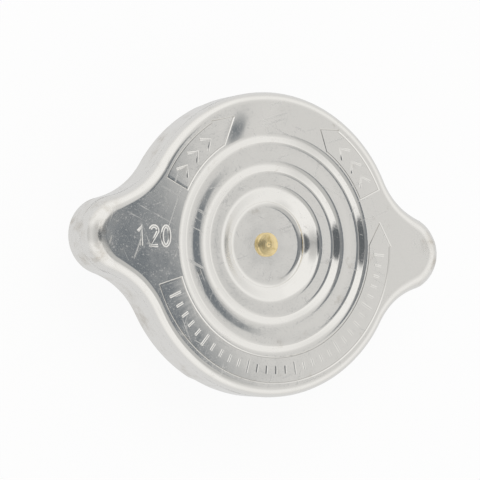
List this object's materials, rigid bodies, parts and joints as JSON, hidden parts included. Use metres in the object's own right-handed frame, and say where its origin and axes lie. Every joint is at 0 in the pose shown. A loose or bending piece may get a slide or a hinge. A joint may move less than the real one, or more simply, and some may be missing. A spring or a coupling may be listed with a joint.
{
  "type": "coolant tank cap",
  "caption": "Twist-on pressure cap: eared pressed cover with stepped rings, bayonet lugs, rim seal, and a sprung pressure valve with a vacuum valve hung on a swivelling bell.",
  "frame": {"origin": "centre of the underside of the pressure seal, on which the cap stands", "axes": "+Z along the cap's axis, out of the cover; +X along the two ears"},
  "size_m": [0.089, 0.0652, 0.026],
  "materials": {
    "cover_steel": "bright plated, pressed",
    "rivet_brass": "turned",
    "ring_steel": "zinc plated",
    "spring_steel": "drawn wire",
    "disc_steel": "spring steel, bright",
    "valve_steel": "pressed, zinc plated",
    "valve_brass": "pressed",
    "black_rubber": "matt"
  },
  "bodies": {
    "cap": {"cover": "cover_steel", "bayonet_ring": "ring_steel", "diaphragm_spring": "disc_steel", "seal_retainer": "disc_steel", "rim_seal": "black_rubber", "rivet_gasket": "black_rubber", "centre_rivet": "rivet_brass"},
    "valve_unit": {"spring_bell": "ring_steel", "pressure_spring": "spring_steel"},
    "pressure_valve": {"spring_plate": "valve_steel", "pressure_plate": "valve_steel", "pressure_seal": "black_rubber", "seal_clamp_ring": "valve_steel", "valve_eyelet": "valve_brass", "vacuum_seal": "black_rubber", "vacuum_spring": "spring_steel"},
    "vacuum_valve": {"vacuum_disc": "valve_brass", "vacuum_stem": "valve_brass", "vacuum_spring_cup": "valve_brass"}
  },
  "joints": [
    {"name": "valve_swivel", "type": "hinge", "parent": "cap", "child": "valve_unit", "pos_m": [0, 0, 0.0182], "axis": [0, 0, 1], "continuous": true},
    {"name": "pressure_lift", "type": "slide", "parent": "valve_unit", "child": "pressure_valve", "axis": [0, 0, 1], "range_m": [0, 0.00195], "stiffness_N_per_m": 300, "springref_m": -0.006, "deforming": ["pressure_spring"]},
    {"name": "vacuum_drop", "type": "slide", "parent": "pressure_valve", "child": "vacuum_valve", "axis": [0, 0, -1], "range_m": [0, 0.0012], "stiffness_N_per_m": 30, "springref_m": -0.005, "deforming": ["vacuum_spring"]}
  ]
}
